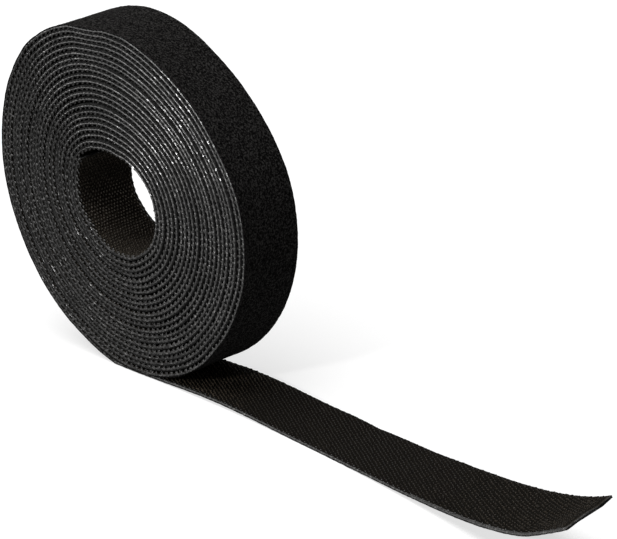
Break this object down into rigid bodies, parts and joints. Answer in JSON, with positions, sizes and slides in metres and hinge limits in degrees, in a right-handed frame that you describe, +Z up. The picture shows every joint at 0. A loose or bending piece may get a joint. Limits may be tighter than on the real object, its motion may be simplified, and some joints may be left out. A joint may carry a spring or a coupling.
{
  "type": "hook and loop cable tie roll",
  "caption": "Open-centred roll of back-to-back hook and loop tape for tying cables, with its free end lying out flat and curled at the cut.",
  "frame": {"origin": "middle of the bounding box on the floor that the roll stands on", "axes": "+X along the tail, away from the roll; +Y along the roll's axis, away from the viewer; +Z up"},
  "size_m": [0.2236, 0.047, 0.0944],
  "materials": {
    "tape": "matt black nylon, loop pile outside and moulded hooks inside"
  },
  "bodies": {
    "root": {"tape": "tape"}
  },
  "joints": []
}
